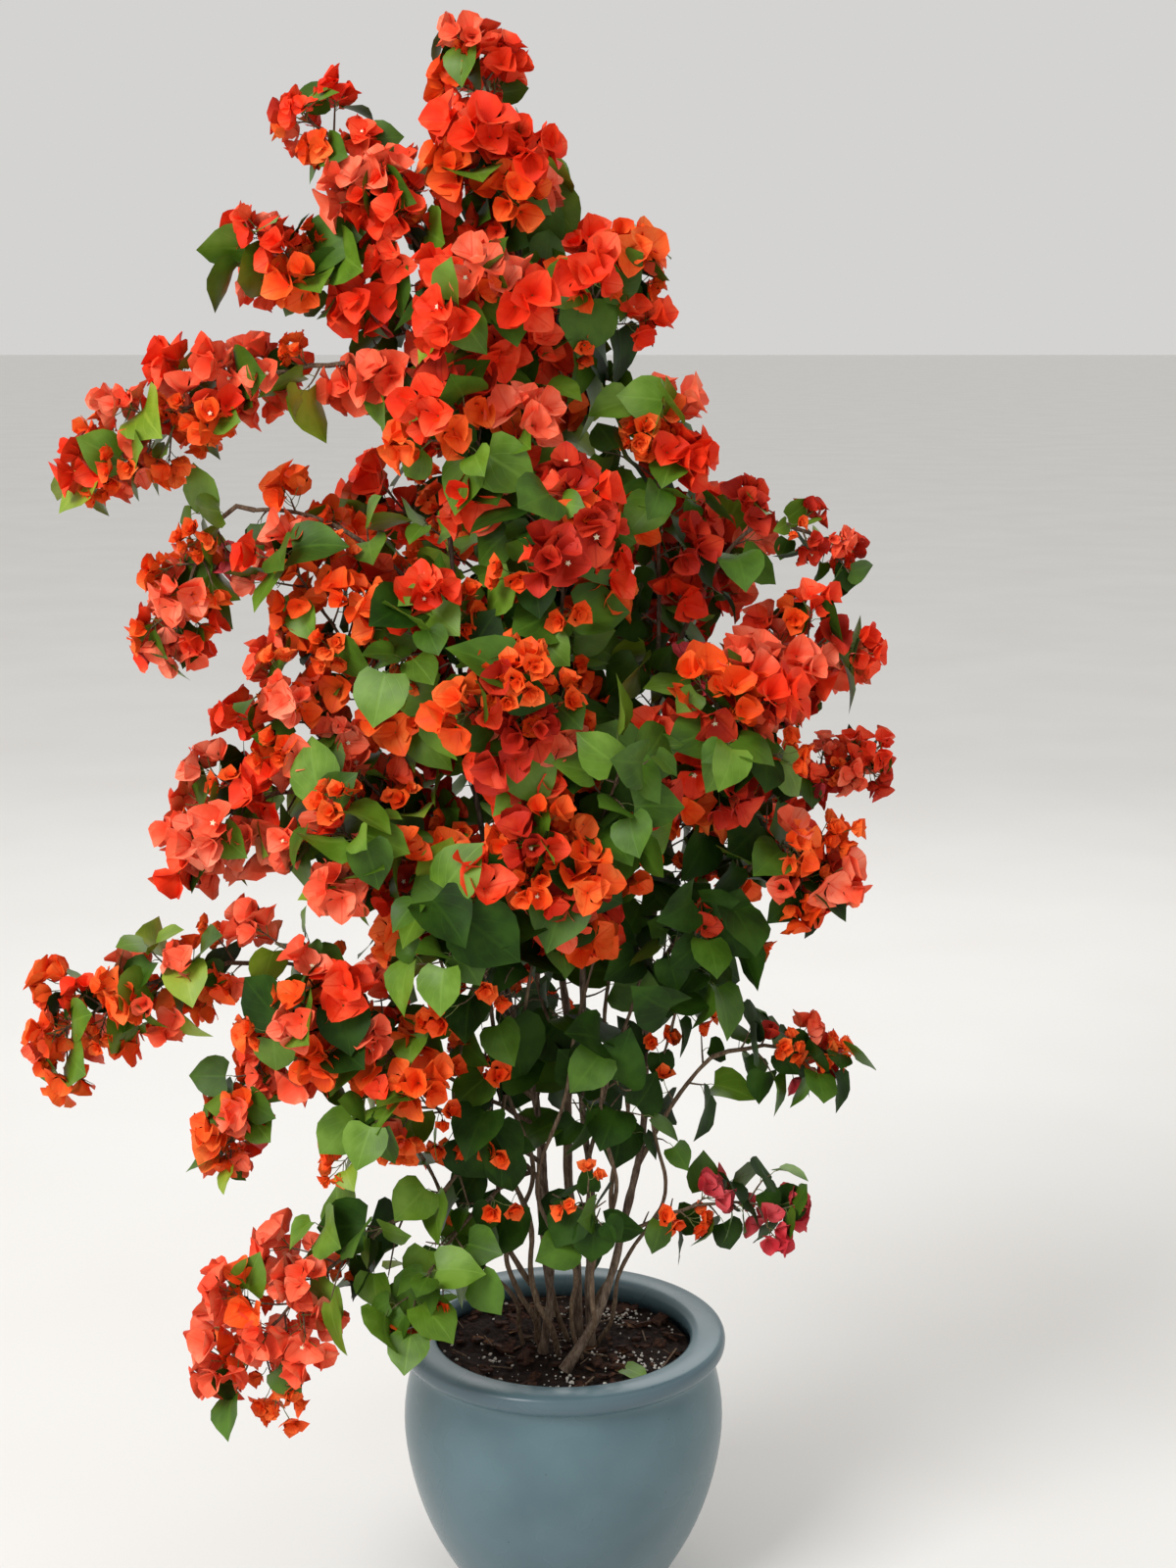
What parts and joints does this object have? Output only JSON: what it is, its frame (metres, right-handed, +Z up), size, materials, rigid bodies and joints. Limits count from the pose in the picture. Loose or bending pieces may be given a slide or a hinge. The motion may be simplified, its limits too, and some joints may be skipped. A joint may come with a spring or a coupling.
{
  "type": "bougainvillea bush",
  "caption": "Tall flowering bougainvillea bush with coral bracts, arching sprays and heart-shaped leaves, in a round glazed pot.",
  "frame": {"origin": "middle of the pot's flat underside", "axes": "+Z up the plant, -Y towards its front, +X to the right seen from the front"},
  "size_m": [1.0154, 0.7286, 1.9738],
  "materials": {
    "glaze": "gloss",
    "potting_mix": "matte",
    "bark": "matte",
    "leaves": "satin",
    "bracts": "matte"
  },
  "bodies": {
    "root": {"pot": "glaze", "soil": "potting_mix", "stem_leader": "bark", "stem_left": "bark", "stem_right": "bark", "stem_back": "bark", "stem_front": "bark", "bough_left_top": "bark", "bough_left_cane": "bark", "bough_left_middle": "bark", "bough_left_low": "bark", "bough_foot_left": "bark", "bough_right_cane": "bark", "bough_right_middle": "bark", "bough_right_low": "bark", "bough_back_right": "bark", "tip_spray": "bracts", "top_bloom": "bracts", "top_left_spray": "bracts", "top_left_bloom": "bracts", "high_left_spray": "bracts", "upper_front": "bracts", "upper_right": "bracts", "upper_back": "bracts", "left_top_spray": "bracts", "left_cane_spray": "bracts", "middle_front_high": "leaves", "middle_right_high": "bracts", "middle_band": "bracts", "right_cane_spray": "bracts", "left_wall_high": "bracts", "left_wall_low": "bracts", "inner_left_high": "leaves", "right_wall_high": "bracts", "right_wall_low": "bracts", "centre_bloom": "bracts", "centre_leaves": "leaves", "far_right_spray": "bracts", "left_cluster": "bracts", "inner_left": "leaves", "right_cluster": "bracts", "centre_low_bloom": "bracts", "heart_leaves": "leaves", "right_leaves": "leaves", "left_tip_spray": "bracts", "left_low_bloom": "bracts", "left_low_inner": "leaves", "left_hanging_spray": "bracts", "centre_low_leaves": "leaves", "right_low_spray": "leaves", "foot_left_leaves": "leaves", "foot_left_bloom": "bracts", "foot_right_spray": "leaves", "foot_leaves": "leaves", "back_left_high": "bracts", "back_right_high": "bracts", "back_middle": "bracts", "back_left_low": "bracts", "back_right_low": "bracts", "back_low": "leaves"}
  },
  "joints": []
}
